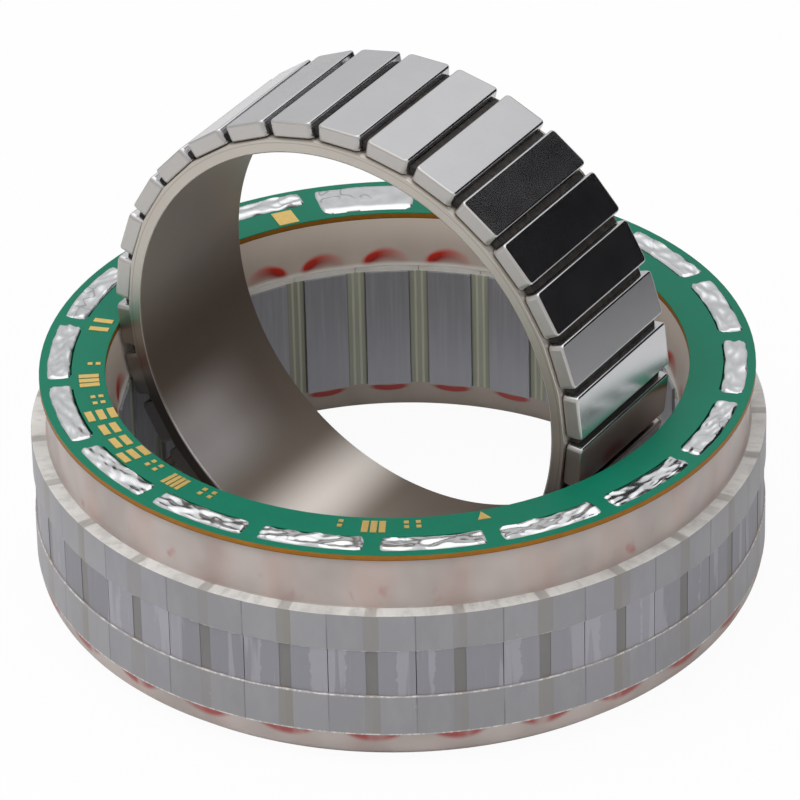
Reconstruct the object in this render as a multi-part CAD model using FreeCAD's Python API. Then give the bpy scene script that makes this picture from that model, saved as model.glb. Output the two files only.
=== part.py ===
import FreeCAD, Part
import math
import os

from FreeCAD import Vector

# Frameless ring motor, as a kit of two parts: a potted stator lying on its lower face,
# and a loose magnet rotor standing on edge in the stator's bore.
# Millimetres. Z is the stator's axis, z = 0 is the face it lies on, and the rotor's axis runs along Y.

# Stator core: one T-shaped stack of laminations for each tooth
slot_count = 27
bore_radius = 43.4
shoe_edge = 0.9
shoe_depth = 2.8
slot_depth = 6.85
yoke_thickness = 4.2
stack_bottom = 6.4
stack_height = 21.2
tooth_width = 5.0
slot_opening = 3.1
joint_gap = 0.12
groove_width = 1.8
groove_depth = 0.4
stator_clocking = -1.88

# Windings: one coil for each tooth, wired in three phases
phase_count = 3
coil_gap = 0.15
coil_web = 0.96
head_height = 3.4
saddle_height = 1.2
saddle_flange = 1.0
seat = 0.05

# Slot closing strips, the liner that shows between the shoes
strip_depth = 1.6
strip_recess = 0.4

# Potting: one casting round both winding heads and through the slots
film = 0.25
upper_band = 6.2
lower_band = 6.9
ledge_height = 0.1
ledge_width = 2.65
collar_lean = 0.35
collar_height = 8.8
foot_inset = 4.4
foot_setback = 4.3
foot_belly = 1.6

# Circuit ring with one window for each soldered joint
board_thickness = 1.0
board_overhang = 0.6
board_setback = 2.1
window_count = 18
window_rim = 1.3
window_depth = 3.8
window_spacing = 2.9
window_corner = 0.8
wide_window = 6
wide_window_rim = 1.2
solder_gap = 0.1
solder_rise = 0.4

# Gold plated test pads, each placed by its distance from the ring's inner edge and its angle
pad_height = 0.1
bar_length = 3.1
bar_groups = ((2, 1.1, 2.5, -8), (3, 1.0, 1.3, -7), (4, 0.7, 0.95, -5), (3, 1.0, 1.3, -3))
bar_setback = 2.55
dot_size = 0.75
dot_pitch = 1.25
dot_rows = ((1.25, -134.9), (1.25, -108.8), (1.35, -94.8), (1.35, -54.9))
dot_pairs = ((1.1, -147.85), (1.4, -68.0))
dot_pair_pitch = 1.8
test_pad = (1.15, 2.9)
test_pad_pitch = 1.78
test_rows = ((0.65, -129.5, 3), (1.6, -124.3, 2), (1.6, -119.3, 2), (0.8, -114.3, 3))
earth_pad = (4.0, 3.4)
earth_pad_at = (2.4, 144.5)
arrow_size = 2.1
arrow_at = (0.5, -41.88)

# Rotor: a steel ring with ground flats, and flat block magnets glued on them
pole_count = 30
rotor_clearance = 1.0
ring_thickness = 2.2
ring_width = 27.9
ring_chamfer = 0.25
magnet_gap = 0.95
magnet_length = 26.4
magnet_thickness = 2.7
magnet_chamfer = 0.35
magnet_start = 0.45
glue_line = 0.1
glue_depth = 1.5
glue_gap = 0.05
glue_setback = 1.2
rotor_offset = (-0.75, -0.49)
lowest_angle = -90

# Places that follow from the sizes above
Z_AXIS = Vector(0, 0, 1)
ORIGIN = Vector(0, 0, 0)
slot_pitch = 360.0 / slot_count
pole_pitch = 360.0 / pole_count
stack_top = stack_bottom + stack_height
shoe_back = bore_radius + shoe_depth
yoke_radius = shoe_back + slot_depth
core_radius = yoke_radius + yoke_thickness
tooth_half = tooth_width / 2
skin_radius = core_radius + film
shoe_angle = slot_pitch / 2 - math.degrees(math.asin(slot_opening / 2 / bore_radius))
joint_angle = slot_pitch / 2 - math.degrees(math.asin(joint_gap / 2 / core_radius))

coil_inside = tooth_half + coil_gap
coil_start = shoe_back + coil_gap
half_slot = math.radians(slot_pitch / 2)
coil_outside = coil_start * math.sin(half_slot) - coil_web / 2 * math.cos(half_slot) - seat
coil_end = yoke_radius - coil_gap

room_height = head_height + seat
room_half = coil_outside + seat
room_end = coil_end + seat
flange_end = coil_start + seat
flange_top = stack_top + saddle_flange + seat

face_radius = bore_radius + strip_recess
ledge_top = stack_top + ledge_height
collar_top = ledge_top + collar_height
board_top = collar_top + board_thickness
collar_foot_radius = skin_radius - ledge_width
collar_top_radius = collar_foot_radius + collar_lean
foot_outer_radius = skin_radius - foot_inset
foot_inner_radius = bore_radius + foot_setback

board_outer_radius = collar_top_radius + board_overhang
board_inner_radius = bore_radius + board_setback
window_outer_radius = board_outer_radius - window_rim
window_inner_radius = window_outer_radius - window_depth
bar_radius = board_inner_radius + bar_setback

rotor_radius = bore_radius - rotor_clearance
magnet_back_radius = rotor_radius - magnet_thickness
magnet_width = 2 * magnet_back_radius * math.tan(math.radians(pole_pitch / 2)) - magnet_gap
ring_flat_radius = magnet_back_radius - glue_line
ring_inner_radius = ring_flat_radius - ring_thickness


def polar(radius, angle, z=0.0):
    turn = math.radians(angle)
    return Vector(radius * math.cos(turn), radius * math.sin(turn), z)


def line(start, end):
    return Part.LineSegment(start, end).toShape()


def arc(start, middle, end):
    return Part.Arc(start, middle, end).toShape()


def polygon_face(points):
    return Part.Face(Part.makePolygon(list(points) + [points[0]]))


def turned(shape, angle):
    copy = shape.copy()
    copy.rotate(ORIGIN, Z_AXIS, angle)
    return copy


def ring_pattern(shape, count, start=0.0, step=1):
    """Copies of a shape round the Z axis, every step-th of count places."""
    pitch = 360.0 / count
    return [turned(shape, start + number * pitch) for number in range(0, count, step)]


def lathe(points):
    """A ring turned about Z from (radius, z) corners."""
    face = polygon_face([Vector(radius, 0, z) for radius, z in points])
    return face.revolve(ORIGIN, Z_AXIS, 360)


def save(name, solids):
    shape = solids[0] if len(solids) == 1 else Part.makeCompound(solids)
    shape.exportStep(os.path.join("parts", name + ".step"))


def mirrored_across(point):
    return Vector(point.x, -point.y, point.z)


def core_segment():
    """One tooth of the core, lying along +X: yoke, tooth and shoe, with a groove down its back."""
    groove_half = groove_width / 2
    groove_lip = math.sqrt(core_radius**2 - groove_half**2)
    lip_angle = math.degrees(math.asin(groove_half / core_radius))
    flank = [
        polar(bore_radius, shoe_angle),
        polar(bore_radius + shoe_edge, shoe_angle),
        Vector(shoe_back, tooth_half, 0),
        Vector(yoke_radius, tooth_half, 0),
        Vector(yoke_radius, yoke_radius * math.tan(math.radians(joint_angle)), 0),
        polar(core_radius, joint_angle),
    ]
    lip = Vector(groove_lip, groove_half, 0)
    floor = Vector(groove_lip - groove_depth, groove_half, 0)
    back_middle = (lip_angle + joint_angle) / 2
    edges = [
        arc(polar(bore_radius, -shoe_angle), polar(bore_radius, 0), polar(bore_radius, shoe_angle)),
        line(floor, mirrored_across(floor)),
    ]
    for side in (lambda point: point, mirrored_across):
        points = [side(point) for point in flank]
        edges += [line(start, end) for start, end in zip(points, points[1:])]
        edges.append(arc(points[-1], side(polar(core_radius, back_middle)), side(lip)))
        edges.append(line(side(lip), side(floor)))
    face = Part.Face(Part.Wire(Part.__sortEdges__(edges)))
    segment = face.extrude(Vector(0, 0, stack_height))
    segment.translate(Vector(0, 0, stack_bottom))
    return segment


def arch_points(x, half_width, crest):
    """Corners of a winding head's arch over the stack, from -Y to +Y: two slopes and a flat."""
    shoulder = half_width / 2
    return [
        Vector(x, -half_width, stack_top),
        Vector(x, -shoulder, stack_top + crest),
        Vector(x, shoulder, stack_top + crest),
        Vector(x, half_width, stack_top),
    ]


def mirrored_low(shape):
    """The same form at the lower end of the stack."""
    return shape.mirror(Vector(0, 0, (stack_top + stack_bottom) / 2), Z_AXIS)


def loop_face(half_width, crest):
    """The area inside a loop round the tooth, with an arch above and below the stack."""
    upper = arch_points(coil_start, half_width, crest)
    lower = [Vector(point.x, point.y, stack_top + stack_bottom - point.z) for point in upper]
    return polygon_face(upper + lower[::-1])


def coil():
    """One coil round a tooth, arched over the saddles at both ends."""
    winding = loop_face(coil_outside, head_height).cut(loop_face(coil_inside, saddle_height + seat))
    return winding.extrude(Vector(coil_end - coil_start, 0, 0))


def saddle():
    """The insulating saddle that a coil's upper head bends over."""
    arch = polygon_face(arch_points(coil_start, coil_inside - seat, saddle_height))
    return arch.extrude(Vector(coil_end - coil_start, 0, 0))


def flanged_saddle():
    """A saddle with its low flange, which meets the next one and shows as a line above the teeth."""
    slope = math.tan(math.radians(joint_angle))
    flange = polygon_face([
        Vector(face_radius, -face_radius * slope, stack_top),
        Vector(coil_start, -coil_start * slope, stack_top),
        Vector(coil_start, coil_start * slope, stack_top),
        Vector(face_radius, face_radius * slope, stack_top),
    ]).extrude(Vector(0, 0, saddle_flange))
    return saddle().fuse(flange).removeSplitter()


def closing_strip():
    """The liner strip that closes a slot between two shoes, lying along +X."""
    width = slot_opening - 2 * seat
    strip = Part.makeBox(strip_depth, width, stack_height)
    strip.translate(Vector(face_radius, -width / 2, stack_bottom))
    return strip


def flat_sided(flat_radius, z, height):
    """A block with one flat side for each tooth, each flat at the given radius."""
    corner_radius = flat_radius / math.cos(half_slot)
    corners = [
        polar(corner_radius, stator_clocking + number * slot_pitch, z) for number in range(slot_count)
    ]
    return polygon_face(corners).extrude(Vector(0, 0, height))


def head_channel():
    """The room for all the coil heads above the stack."""
    return flat_sided(room_end, stack_top, room_height).cut(flat_sided(shoe_back, stack_top, room_height))


def slot_web():
    """The potting between two neighbouring coils, lying along +X, and between their heads."""
    def half(x):
        return (x * math.sin(half_slot) - room_half) / math.cos(half_slot)

    start = face_radius + strip_depth + seat
    end = yoke_radius - seat
    web = polygon_face([
        Vector(start, -half(coil_start), stack_bottom),
        Vector(coil_start, -half(coil_start), stack_bottom),
        Vector(end, -half(end), stack_bottom),
        Vector(end, half(end), stack_bottom),
        Vector(coil_start, half(coil_start), stack_bottom),
        Vector(start, half(coil_start), stack_bottom),
    ]).extrude(Vector(0, 0, stack_height))
    near = flange_end / math.cos(half_slot)
    far = room_end / math.cos(half_slot) + seat
    between_heads = polygon_face([
        Vector(near, -half(near), stack_top),
        Vector(far, -half(far), stack_top),
        Vector(far, half(far), stack_top),
        Vector(near, half(near), stack_top),
    ]).extrude(Vector(0, 0, room_height))
    return [web, between_heads, mirrored_low(between_heads)]


def potting():
    """One casting: a collar above, a tapered foot below, and webs through the slots."""
    collar = lathe([
        (face_radius, stack_top),
        (core_radius, stack_top),
        (core_radius, stack_top - upper_band),
        (skin_radius, stack_top - upper_band),
        (skin_radius, ledge_top),
        (collar_foot_radius, ledge_top),
        (collar_top_radius, collar_top),
        (board_inner_radius, collar_top),
        (face_radius, flange_top),
    ])
    foot = lathe([
        (face_radius, stack_bottom),
        (core_radius, stack_bottom),
        (core_radius, stack_bottom + lower_band),
        (skin_radius, stack_bottom + lower_band),
        (skin_radius, stack_bottom - ledge_height),
        ((skin_radius + foot_outer_radius) / 2 + foot_belly, stack_bottom / 2),
        (foot_outer_radius, 0),
        (foot_inner_radius, 0),
    ])
    collar = collar.cut([head_channel(), flat_sided(flange_end, stack_top, flange_top - stack_top)])
    foot = foot.cut(mirrored_low(head_channel()))
    webs = [turned(part, stator_clocking + number * slot_pitch)
            for number in range(slot_count) for part in slot_web()]
    return collar.fuse([foot] + webs).removeSplitter()


def sector(inner_radius, outer_radius, half_angle, corner, z, height):
    """A block between two radii, with its four upright corners cut."""
    inner_turn = math.degrees(corner / inner_radius)
    outer_turn = math.degrees(corner / outer_radius)
    end = [
        polar(inner_radius, half_angle - inner_turn, z),
        polar(inner_radius + corner, half_angle, z),
        polar(outer_radius - corner, half_angle, z),
        polar(outer_radius, half_angle - outer_turn, z),
    ]
    other_end = [mirrored_across(point) for point in end]
    edges = [
        arc(other_end[0], polar(inner_radius, 0, z), end[0]),
        arc(other_end[-1], polar(outer_radius, 0, z), end[-1]),
    ]
    for points in (end, other_end):
        edges += [line(start, finish) for start, finish in zip(points, points[1:])]
    return Part.Face(Part.Wire(Part.__sortEdges__(edges))).extrude(Vector(0, 0, height))


def window_block(number, gap, z, height):
    """The block that fills window number, smaller all round by gap."""
    inner_radius = window_inner_radius
    if number == wide_window:
        inner_radius = board_inner_radius + wide_window_rim
    middle_radius = (window_inner_radius + window_outer_radius) / 2
    half_angle = 180.0 / window_count - math.degrees((window_spacing / 2 + gap) / middle_radius)
    block = sector(inner_radius + gap, window_outer_radius - gap, half_angle, window_corner, z, height)
    return turned(block, stator_clocking + (number + 0.5) * 360.0 / window_count)


def circuit_ring():
    plate = lathe([
        (board_inner_radius, collar_top),
        (board_outer_radius, collar_top),
        (board_outer_radius, board_top),
        (board_inner_radius, board_top),
    ])
    windows = [window_block(number, 0, collar_top, board_thickness) for number in range(window_count)]
    return plate.cut(windows)


def solder_joints():
    """Solder that fills each window and stands a little above the board."""
    height = board_thickness + solder_rise
    return [window_block(number, solder_gap, collar_top, height) for number in range(window_count)]


def pad(setback, angle, radial, tangential):
    """One plated pad on the board, its middle set back from the board's inner edge."""
    block = Part.makeBox(radial, tangential, pad_height)
    block.translate(Vector(board_inner_radius + setback - radial / 2, -tangential / 2, board_top))
    return turned(block, angle)


def test_pads():
    pads = []
    window_pitch = 360.0 / window_count
    for count, width, pitch, place in bar_groups:
        for number in range(count):
            turn = math.degrees((number - (count - 1) / 2) * pitch / bar_radius)
            angle = stator_clocking + place * window_pitch + turn
            pads.append(pad(bar_setback, angle, bar_length, width))
    for setback, angle, count in test_rows:
        for number in range(count):
            pads.append(pad(setback + number * test_pad_pitch, angle, *test_pad))
    pads.append(pad(*earth_pad_at, *earth_pad))
    return pads


def marker_dots():
    dots = []
    for groups, columns in ((dot_rows, (-0.5, 0.5)), (dot_pairs, (0,))):
        for setback, angle in groups:
            for row in range(2):
                for column in columns:
                    turn = math.degrees(column * dot_pair_pitch / (board_inner_radius + setback))
                    dots.append(pad(setback + row * dot_pitch, angle + turn, dot_size, dot_size))
    arrow_setback, arrow_angle = arrow_at
    arrow_tip = board_inner_radius + arrow_setback
    arrow = polygon_face([
        Vector(arrow_tip, 0, board_top),
        Vector(arrow_tip + arrow_size, arrow_size / 2, board_top),
        Vector(arrow_tip + arrow_size, -arrow_size / 2, board_top),
    ]).extrude(Vector(0, 0, pad_height))
    dots.append(turned(arrow, arrow_angle))
    return dots


def rotor_ring():
    """A steel ring about Z with one ground flat for each magnet, its visible end at z = 0."""
    corner_radius = ring_flat_radius / math.cos(math.radians(pole_pitch / 2))
    corners = [
        polar(corner_radius, (number + 0.5) * pole_pitch + lowest_angle) for number in range(pole_count)
    ]
    body = polygon_face(corners).extrude(Vector(0, 0, -ring_width))
    bore = lathe([
        (ring_inner_radius, -ring_width + ring_chamfer),
        (ring_inner_radius + ring_chamfer, -ring_width),
        (0, -ring_width),
        (0, 0),
        (ring_inner_radius + ring_chamfer, 0),
        (ring_inner_radius, -ring_chamfer),
    ])
    return body.cut(bore)


def magnet():
    """A flat block magnet standing on the flat at +X, with its outer edges cut."""
    block = Part.makeBox(magnet_thickness, magnet_width, magnet_length)
    block.translate(Vector(magnet_back_radius, -magnet_width / 2, -magnet_start - magnet_length))
    rims = [edge for edge in block.Edges if edge.BoundBox.XMin > rotor_radius - seat]
    return block.makeChamfer(magnet_chamfer, rims)


def glue_fillet():
    """Glue in the gap between two magnets, along +X."""
    half_pole = math.radians(pole_pitch / 2)

    def half(x):
        return (x * math.sin(half_pole) - magnet_width / 2) / math.cos(half_pole) - glue_gap

    inner = ring_flat_radius / math.cos(half_pole) + glue_gap
    outer = inner + glue_depth
    near = -magnet_start - glue_setback
    points = [
        Vector(inner, -half(inner), near),
        Vector(outer, -half(outer), near),
        Vector(outer, half(outer), near),
        Vector(inner, half(inner), near),
    ]
    return polygon_face(points).extrude(Vector(0, 0, 2 * glue_setback - magnet_length))


def stood_up(shape):
    """Turns a rotor piece from the Z axis to its place: axis along Y, visible end at -Y, on its lowest flat."""
    copy = shape.copy()
    copy.rotate(ORIGIN, Vector(1, 0, 0), 90)
    copy.translate(Vector(rotor_offset[0], rotor_offset[1] - ring_width / 2, rotor_radius))
    return copy


def main():
    os.makedirs("parts", exist_ok=True)
    tooth_start = stator_clocking + slot_pitch / 2
    for number, segment in enumerate(ring_pattern(core_segment(), slot_count, tooth_start)):
        save(f"core_segment_{number + 1:02d}", [segment])
    for number in range(phase_count):
        start = tooth_start + number * slot_pitch
        save(f"phase_{number + 1}_coils", ring_pattern(coil(), slot_count, start, phase_count))
    save("upper_saddles", ring_pattern(flanged_saddle(), slot_count, tooth_start))
    save("lower_saddles", ring_pattern(mirrored_low(saddle()), slot_count, tooth_start))
    save("slot_strips", ring_pattern(closing_strip(), slot_count, stator_clocking))
    save("potting", [potting()])
    save("circuit_ring", [circuit_ring()])
    save("solder_joints", solder_joints())
    save("test_pads", test_pads())
    save("marker_dots", marker_dots())
    save("rotor_ring", [stood_up(rotor_ring())])
    poles = [stood_up(piece) for piece in ring_pattern(magnet(), pole_count, lowest_angle)]
    save("north_magnets", poles[0::2])
    save("south_magnets", poles[1::2])
    fillets = ring_pattern(glue_fillet(), pole_count, pole_pitch / 2 + lowest_angle)
    save("magnet_glue", [stood_up(piece) for piece in fillets])


main()
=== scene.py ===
import math
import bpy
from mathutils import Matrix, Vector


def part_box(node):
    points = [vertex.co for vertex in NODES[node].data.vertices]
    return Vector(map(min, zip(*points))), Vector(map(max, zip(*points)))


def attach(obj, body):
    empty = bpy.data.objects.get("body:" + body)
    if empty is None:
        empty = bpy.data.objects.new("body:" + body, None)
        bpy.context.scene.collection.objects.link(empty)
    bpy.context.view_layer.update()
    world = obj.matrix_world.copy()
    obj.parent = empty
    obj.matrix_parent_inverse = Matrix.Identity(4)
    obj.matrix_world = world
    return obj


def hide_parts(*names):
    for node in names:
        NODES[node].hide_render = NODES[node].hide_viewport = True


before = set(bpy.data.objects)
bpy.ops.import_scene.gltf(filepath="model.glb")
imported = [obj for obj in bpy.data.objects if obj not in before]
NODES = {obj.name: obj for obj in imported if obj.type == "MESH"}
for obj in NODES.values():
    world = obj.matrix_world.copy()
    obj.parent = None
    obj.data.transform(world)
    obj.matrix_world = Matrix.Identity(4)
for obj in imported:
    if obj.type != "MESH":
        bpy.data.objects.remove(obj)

from types import SimpleNamespace

import bmesh
import bpy
from mathutils import Matrix, Vector, noise

bl_info = {
    "name": "Frameless ring motor",
    "version": (1, 0, 0),
    "blender": (4, 5, 0),
    "location": "3D View > Sidebar > Motor",
    "description": "Dresses a potted ring stator and its loose magnet rotor",
    "category": "Object",
}

MM = 0.001
STATOR_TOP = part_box("circuit_ring")[1].z
SLOTS = 27
SLOT_PITCH = 2 * math.pi / SLOTS
CLOCKING = math.radians(-1.88)
WINDOWS = 18
WIDE_WINDOW = 6
POLES = 30
STEPS_PER_SLOT = 24
STEPS_PER_POLE = 12
LUMP_COLUMNS, LUMP_ROWS = 56, 16
# The potting's materials, in order.
OUTSIDE, BORE, BAND, LEDGE = range(4)
# Widths of rounded edges.
LEDGE_ROUND, COLLAR_ROUND, BAND_ROUND = 0.22 * MM, 0.35 * MM, 0.1 * MM
HEEL_ROUND, BELLY_ROUND, FOOT_ROUND = 0.2 * MM, 1.6 * MM, 0.5 * MM
BOARD_ROUND, BORE_ROUND, RIM_ROUND = 0.07 * MM, 0.3 * MM, 0.14 * MM
# The resin webs in the slots, and how far the film in a groove lies under the core's face.
WEB_FRONT, WEB_BACK, WEB_WIDTH, WEB_OVERLAP = 45.45 * MM, 53.0 * MM, 0.9 * MM, 0.2 * MM
FILM_STEP = 0.08 * MM


def tone(red, green, blue):
    """A colour given as it looks on a screen, from 0 to 255, as Blender's linear values."""
    def linear(value):
        value /= 255
        return value / 12.92 if value <= 0.04045 else ((value + 0.055) / 1.055) ** 2.4
    return (linear(red), linear(green), linear(blue))


def colour(name, description, red, green, blue):
    return bpy.props.FloatVectorProperty(
        name=name, description=description, subtype="COLOR", size=3, min=0, max=1,
        default=tone(red, green, blue))


def length(name, description, millimetres):
    return bpy.props.FloatProperty(
        name=name, description=description, unit="LENGTH", default=millimetres * MM, min=0)


class MotorSizes(bpy.types.PropertyGroup):
    core_radius: length("Core radius", "Outside of the bare laminations", 57.25)
    skin_radius: length("Skin radius", "Outside of the resin bands on the core", 57.5)
    wall_radius: length("Wall radius", "Foot of the resin wall above the teeth", 43.8)
    flange_back: length("Flange back", "Back of the white flanges above the teeth", 46.72)
    flange_top: length("Flange top", "Top of the white flanges above the teeth", 28.65)
    stack_bottom: length("Stack bottom", "Lower end of the laminations", 6.4)
    stack_top: length("Stack top", "Upper end of the laminations", 27.6)
    upper_band: length("Upper band", "Height of the upper resin band below the stack's top", 6.2)
    lower_band: length("Lower band", "Height of the lower resin band above the stack's bottom", 6.9)
    ledge_height: length("Ledge height", "Resin ledge above and below the stack", 0.1)
    collar_foot: length("Collar foot radius", "Outside of the collar at the ledge", 54.85)
    collar_top: length("Collar top radius", "Outside of the collar under the board", 55.2)
    foot_outer: length("Foot outer radius", "Outside of the foot on the table", 53.1)
    foot_inner: length("Foot inner radius", "Inside of the foot on the table", 47.7)
    foot_belly: length("Foot belly", "How far the foot bulges between stack and table", 1.6)
    board_bottom: length("Board bottom", "Lower face of the circuit ring", 36.5)
    board_top: length("Board top", "Upper face of the circuit ring", 37.5)
    board_inner: length("Board inner radius", "Inner edge of the circuit ring", 45.5)
    board_outer: length("Board outer radius", "Outer edge of the circuit ring", 55.8)
    groove_width: length("Groove width", "Groove down the back of each segment", 1.8)
    groove_depth: length("Groove depth", "Depth of that groove, filled where a band crosses it", 0.4)
    slot_opening: length("Slot opening", "Gap between two tooth shoes", 3.1)
    window_inner: length("Window inner radius", "Inner edge of a solder window", 50.8)
    window_outer: length("Window outer radius", "Outer edge of a solder window", 54.7)
    wide_window_inner: length("Wide window inner radius", "Inner edge of the one wide window", 46.8)
    window_spacing: length("Window spacing", "Board left between two solder joints", 2.0)
    ring_inner: length("Ring bore radius", "Bore of the rotor's steel ring", 37.4)
    ring_flat: length("Ring flat radius", "Distance of the ring's flats from its axis", 39.6)
    ring_width: length("Ring width", "Width of the rotor's steel ring", 27.9)
    magnet_width: length("Magnet width", "Width of a magnet", 7.395)
    magnet_length: length("Magnet length", "Length of a magnet", 26.4)
    magnet_thickness: length("Magnet thickness", "Thickness of a magnet", 2.7)
    magnet_corner: length("Magnet corner", "Rounded corners of a magnet's outline", 0.75)
    magnet_round: length("Magnet rounding", "Rounded edges of a magnet", 0.35)
    magnet_start: length("Magnet start", "Step from the ring's end to the magnets", 0.45)
    rotor_radius: length("Rotor radius", "Outside of the magnets", 42.4)


class MotorColours(bpy.types.PropertyGroup):
    resin: colour("Resin", "Milky casting resin", 176, 166, 161)
    resin_pink: colour("Resin blush", "Warm blush where copper lies behind the resin", 176, 156, 149)
    resin_wall: colour("Resin wall", "Resin wall above the teeth", 190, 178, 167)
    resin_ledge: colour("Ledge", "Scuffed resin ledge", 232, 230, 226)
    band: colour("Band", "Thin resin over steel", 144, 143, 146)
    band_brown: colour("Band stripe", "Resin that fills the segment grooves", 132, 128, 120)
    wire: colour("Wire", "Red enamelled wire seen through resin", 150, 30, 22)
    insulator: colour("Insulator", "White moulded insulator", 214, 212, 206)
    liner: colour("Liner", "Greenish slot liner", 152, 153, 139)
    steel: colour("Core steel", "Bare electrical steel", 154, 153, 160)
    mask: colour("Solder mask", "Green mask of the circuit ring", 0, 118, 91)
    board_edge: colour("Board edge", "Cut edge of the circuit ring", 152, 98, 18)
    solder: colour("Solder", "Bright solder", 225, 226, 228)
    gold: colour("Gold", "Gold plating", 238, 202, 122)
    ring_steel: colour("Ring steel", "Ground steel of the rotor ring", 206, 199, 190)
    nickel: colour("Nickel", "Nickel plating of the magnets", 222, 222, 224)
    glue: colour("Glue", "Dark glue between the magnets", 35, 31, 28)


def sizes():
    return bpy.context.scene.motor_sizes


def colours():
    """The colours as plain tuples."""
    look = bpy.context.scene.motor_colours
    names = MotorColours.__annotations__
    return SimpleNamespace(**{name: tuple(getattr(look, name)) for name in names})


class Value:
    """A number that a node gives. Plain signs between such numbers add the nodes for the sum."""

    def __init__(self, nodes, socket):
        self.nodes = nodes
        self.socket = socket

    def __add__(self, other):
        return self.nodes.sums("ADD", self, other)

    def __mul__(self, other):
        return self.nodes.sums("MULTIPLY", self, other)

    def __sub__(self, other):
        return self.nodes.sums("SUBTRACT", self, other)

    def __rsub__(self, other):
        return self.nodes.sums("SUBTRACT", other, self)

    __radd__, __rmul__ = __add__, __mul__


class Nodes:
    """A node tree and short calls that add to it."""

    def __init__(self, tree):
        self.tree = tree
        tree.nodes.clear()

    def node(self, kind, *values, **settings):
        """Adds a node with its settings and joins values to its inputs, from the first on."""
        made = self.tree.nodes.new(kind)
        for key, value in settings.items():
            setattr(made, key, value)
        for value, socket in zip(values, made.inputs):
            self.join(value, socket)
        return made

    def join(self, value, socket):
        """Links an output to a socket, or gives the socket a fixed value."""
        if isinstance(value, Value):
            value = value.socket
        if isinstance(value, bpy.types.NodeSocket):
            self.tree.links.new(value, socket)
        else:
            socket.default_value = (*value, 1) if socket.type == "RGBA" else value

    def sums(self, operation, *values, clamp=False):
        made = self.node("ShaderNodeMath", *values, operation=operation, use_clamp=clamp)
        return Value(self, made.outputs[0])

    def mix(self, factor, first, second, blend="MIX"):
        made = self.node("ShaderNodeMix", data_type="RGBA", blend_type=blend)
        self.join(factor, made.inputs["Factor"])
        self.join(first, made.inputs[6])
        self.join(second, made.inputs[7])
        return made.outputs[2]

    def axes(self, vector):
        split = self.node("ShaderNodeSeparateXYZ", vector)
        return [Value(self, socket) for socket in split.outputs]


class Shader(Nodes):
    """A material of the motor, with the object's coordinates at hand."""

    def __init__(self, name):
        self.material = bpy.data.materials.new(name)
        self.material.use_nodes = True
        super().__init__(self.material.node_tree)
        self.place = self.node("ShaderNodeTexCoord").outputs["Object"]
        self.x, self.y, self.z = self.axes(self.place)
        self.radius = self.sums("SQRT", self.x * self.x + self.y * self.y)

    def step(self, value, low, high):
        """0 at low and 1 at high, smooth between them."""
        made = self.node("ShaderNodeMapRange", value, low, high, interpolation_type="SMOOTHSTEP")
        return Value(self, made.outputs["Result"])

    def inside(self, value, low, high, soft):
        """1 between low and high, 0 outside, with soft borders."""
        return self.step(value, low - soft, low + soft) * (
            1 - self.step(value, high - soft, high + soft))

    def cloud(self, vector, scale, detail=3, rough=0.5):
        made = self.node("ShaderNodeTexNoise")
        self.join(vector, made.inputs["Vector"])
        made.inputs["Scale"].default_value = scale
        made.inputs["Detail"].default_value = detail
        made.inputs["Roughness"].default_value = rough
        return Value(self, made.outputs["Fac"])

    def ring_cloud(self, around, radial, up, detail=3, rough=0.5):
        """Noise that follows a ring: its fineness along the turn, out from the axis and up."""
        turn = self.sums("ARCTAN2", self.y, self.x)
        made = self.node("ShaderNodeCombineXYZ", turn * around, self.radius * radial, self.z * up)
        return self.cloud(made.outputs[0], 1, detail, rough)

    def random(self, value):
        """A number from 0 to 1 that only depends on the whole part of a value."""
        made = self.node("ShaderNodeTexWhiteNoise", noise_dimensions="1D")
        self.join(self.sums("FLOOR", value), made.inputs["W"])
        return Value(self, made.outputs["Value"])

    def bump(self, height, depth, strength=1):
        made = self.node("ShaderNodeBump")
        self.join(height, made.inputs["Height"])
        made.inputs["Distance"].default_value = depth
        made.inputs["Strength"].default_value = strength
        return made.outputs[0]

    def slot_turn(self):
        """How far round the slots a point is: whole numbers at the joints between segments."""
        turn = self.sums("ARCTAN2", self.y, self.x)
        return self.sums("DIVIDE", turn - (CLOCKING - 2 * math.pi), SLOT_PITCH)

    def slot_side(self, radius):
        """Distance round the ring from the nearest joint between two segments, at a radius."""
        part = self.sums("FRACT", self.slot_turn())
        return self.sums("MINIMUM", part, 1 - part) * (SLOT_PITCH * radius)

    def tooth_side(self, radius):
        """Distance round the ring from the nearest tooth's middle, at a radius."""
        part = self.sums("FRACT", self.slot_turn())
        return self.sums("ABSOLUTE", part - 0.5) * (SLOT_PITCH * radius)

    def finish(self, base, metallic, roughness, normal, **sockets):
        """The material with one shader of the given looks."""
        shader = self.node("ShaderNodeBsdfPrincipled")
        self.join(base, shader.inputs["Base Color"])
        self.join(metallic, shader.inputs["Metallic"])
        self.join(roughness, shader.inputs["Roughness"])
        self.join(normal, shader.inputs["Normal"])
        for key, value in sockets.items():
            shader.inputs[key.replace("_", " ")].default_value = value
        return self.surface(shader.outputs[0])

    def blend(self, factor, first, second):
        """The material with one shader blended into another."""
        made = self.node("ShaderNodeMixShader", factor, first.outputs[0], second.outputs[0])
        return self.surface(made.outputs[0])

    def surface(self, shader):
        self.node("ShaderNodeOutputMaterial", shader)
        return self.material


def shaded(value, factor):
    return tuple(part * factor for part in value)


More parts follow.
